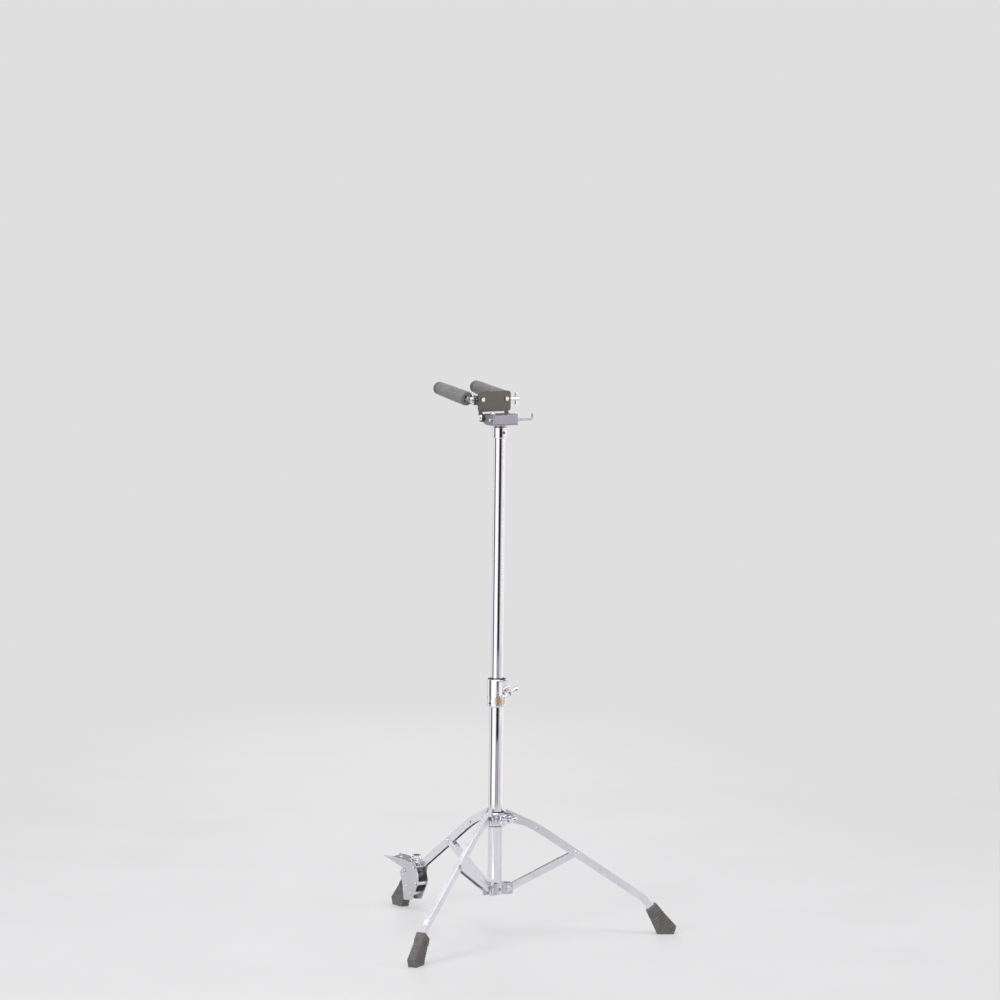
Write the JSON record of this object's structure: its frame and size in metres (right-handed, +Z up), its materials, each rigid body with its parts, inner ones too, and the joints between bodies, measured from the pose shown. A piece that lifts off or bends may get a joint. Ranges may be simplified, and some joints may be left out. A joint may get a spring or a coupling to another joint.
{
  "type": "cello stand",
  "caption": "Folding chromed tripod with a telescopic mast, two foam-covered arms on a tilting yoke, and an endpin rest on the front leg.",
  "frame": {"origin": "on the floor, under the middle of the stand's outline; the mast's axis stands 0.0998 m behind it along +Y", "axes": "+Z up along the mast; -Y along the front leg and the arms, towards the player; +X to the side, square to the front leg"},
  "size_m": [0.6854, 0.6077, 1.1715],
  "materials": {
    "chrome": "bright chrome plate",
    "zinc_steel": "zinc plated pressings",
    "yoke_steel": "satin, warm grey",
    "cast_satin": "satin casting",
    "dark_steel": "dark oxide screws",
    "rubber": "matt moulded rubber",
    "foam": "closed-cell foam",
    "nylon": "moulded nylon"
  },
  "bodies": {
    "mast": {"lower_tube": "chrome", "mast_plug": "nylon", "base_hub": "chrome", "hub_pin_front": "chrome", "hub_pin_right": "chrome", "hub_pin_left": "chrome", "height_clamp": "chrome", "clamp_bushing": "nylon", "clamp_screw": "zinc_steel"},
    "front_brace": {"brace_front": "chrome", "brace_rivet_front": "chrome"},
    "right_brace": {"brace_right": "chrome", "brace_rivet_right": "chrome"},
    "left_brace": {"brace_left": "chrome", "brace_rivet_left": "chrome"},
    "front_leg": {"leg_front": "chrome", "foot_front": "rubber", "rest_plate_right": "zinc_steel", "rest_plate_left": "zinc_steel", "rest_rivet_leg": "zinc_steel", "rest_rivet_upper": "zinc_steel", "rest_rivet_back": "zinc_steel", "rest_rivet_lower": "zinc_steel", "endpin_tray": "zinc_steel", "endpin_pad": "rubber", "rest_stud": "chrome", "rest_nut": "chrome"},
    "right_leg": {"leg_right": "chrome", "foot_right": "rubber"},
    "left_leg": {"leg_left": "chrome", "foot_left": "rubber"},
    "collar": {"leg_collar": "chrome", "collar_bushing": "nylon", "collar_pin_front": "chrome", "collar_pin_right": "chrome", "collar_pin_left": "chrome"},
    "collar_bolt": {"collar_wing_bolt": "chrome"},
    "clamp_bolt": {"clamp_wing_bolt": "chrome"},
    "upper_mast": {"upper_tube": "chrome", "tube_guide": "nylon", "head_collar": "chrome", "head_collar_screw": "dark_steel"},
    "head": {"head_block": "cast_satin", "block_top_bolt": "chrome", "accessory_hook": "chrome", "tilt_bolt": "chrome"},
    "tilt_nut": {"tilt_wing_nut": "chrome"},
    "yoke": {"yoke_bracket": "yoke_steel", "arm_bolt_right": "chrome", "arm_bolt_left": "chrome"},
    "right_arm": {"arm_right": "zinc_steel", "sleeve_right": "foam", "arm_cap_right": "rubber"},
    "left_arm": {"arm_left": "zinc_steel", "sleeve_left": "foam", "arm_cap_left": "rubber"},
    "right_arm_nut": {"arm_wing_nut_right": "chrome"},
    "left_arm_nut": {"arm_wing_nut_left": "chrome"},
    "lever": {"lock_lever": "zinc_steel"},
    "knob": {"rest_knob": "chrome"}
  },
  "joints": [
    {"name": "front_brace_hinge", "type": "hinge", "parent": "mast", "child": "front_brace", "pos_m": [0, 0.06983, 0.1], "axis": [-1, 0, 0], "range_deg": [-4, 50]},
    {"name": "front_leg_hinge", "type": "hinge", "parent": "front_brace", "child": "front_leg", "pos_m": [0, -0.07317, 0.1755], "axis": [-1, 0, 0], "range_deg": [-100, 8]},
    {"name": "collar_hinge", "type": "hinge", "parent": "front_leg", "child": "collar", "pos_m": [0, 0.06983, 0.251], "axis": [-1, 0, 0], "range_deg": [-4, 50]},
    {"name": "right_brace_hinge", "type": "hinge", "parent": "mast", "child": "right_brace", "pos_m": [0.02598, 0.11483, 0.1], "axis": [0.5, -0.866, 0], "range_deg": [-4, 50]},
    {"name": "right_leg_hinge", "type": "hinge", "parent": "right_brace", "child": "right_leg", "pos_m": [0.14982, 0.18633, 0.1755], "axis": [0.5, -0.866, 0], "range_deg": [-100, 8]},
    {"name": "left_brace_hinge", "type": "hinge", "parent": "mast", "child": "left_brace", "pos_m": [-0.02598, 0.11483, 0.1], "axis": [0.5, 0.866, 0], "range_deg": [-4, 50]},
    {"name": "left_leg_hinge", "type": "hinge", "parent": "left_brace", "child": "left_leg", "pos_m": [-0.14982, 0.18633, 0.1755], "axis": [0.5, 0.866, 0], "range_deg": [-100, 8]},
    {"name": "collar_bolt_turn", "type": "hinge", "parent": "collar", "child": "collar_bolt", "pos_m": [0, 0.14783, 0.251], "axis": [0, 1, 0], "continuous": true},
    {"name": "clamp_bolt_turn", "type": "hinge", "parent": "mast", "child": "clamp_bolt", "pos_m": [0, 0.14783, 0.52555], "axis": [0, 1, 0], "continuous": true},
    {"name": "height_slide", "type": "slide", "parent": "mast", "child": "upper_mast", "axis": [0, 0, 1], "range_m": [-0.28, 0.06]},
    {"name": "head_swivel", "type": "hinge", "parent": "upper_mast", "child": "head", "pos_m": [0, 0.09983, 1.09], "axis": [0, 0, 1], "range_deg": [-180, 180]},
    {"name": "tilt_hinge", "type": "hinge", "parent": "head", "child": "yoke", "pos_m": [0, 0.07883, 1.105], "axis": [1, 0, 0], "range_deg": [-30, 60]},
    {"name": "tilt_nut_turn", "type": "hinge", "parent": "head", "child": "tilt_nut", "pos_m": [-0.045, 0.07883, 1.105], "axis": [-1, 0, 0], "continuous": true},
    {"name": "right_arm_hinge", "type": "hinge", "parent": "yoke", "child": "right_arm", "pos_m": [0.047, 0.05883, 1.141], "axis": [-1, 0, 0], "range_deg": [-25, 75]},
    {"name": "left_arm_hinge", "type": "hinge", "parent": "yoke", "child": "left_arm", "pos_m": [-0.047, 0.05883, 1.141], "axis": [-1, 0, 0], "range_deg": [-25, 75]},
    {"name": "right_arm_nut_turn", "type": "hinge", "parent": "yoke", "child": "right_arm_nut", "pos_m": [0.03, 0.05883, 1.141], "axis": [1, 0, 0], "continuous": true},
    {"name": "left_arm_nut_turn", "type": "hinge", "parent": "yoke", "child": "left_arm_nut", "pos_m": [-0.06, 0.05883, 1.141], "axis": [-1, 0, 0], "continuous": true},
    {"name": "lever_turn", "type": "hinge", "parent": "front_leg", "child": "lever", "pos_m": [0, -0.20617, 0.112], "axis": [0, 0, 1], "range_deg": [-3, 115]},
    {"name": "knob_turn", "type": "hinge", "parent": "front_leg", "child": "knob", "pos_m": [0, -0.20617, 0.118], "axis": [0, 0, 1], "continuous": true}
  ],
  "couplings": [
    {"joint": "front_leg_hinge", "follows": "front_brace_hinge", "ratio": -2},
    {"joint": "collar_hinge", "follows": "front_brace_hinge", "ratio": 1},
    {"joint": "right_brace_hinge", "follows": "front_brace_hinge", "ratio": 1},
    {"joint": "right_leg_hinge", "follows": "front_brace_hinge", "ratio": -2},
    {"joint": "left_brace_hinge", "follows": "front_brace_hinge", "ratio": 1},
    {"joint": "left_leg_hinge", "follows": "front_brace_hinge", "ratio": -2}
  ]
}
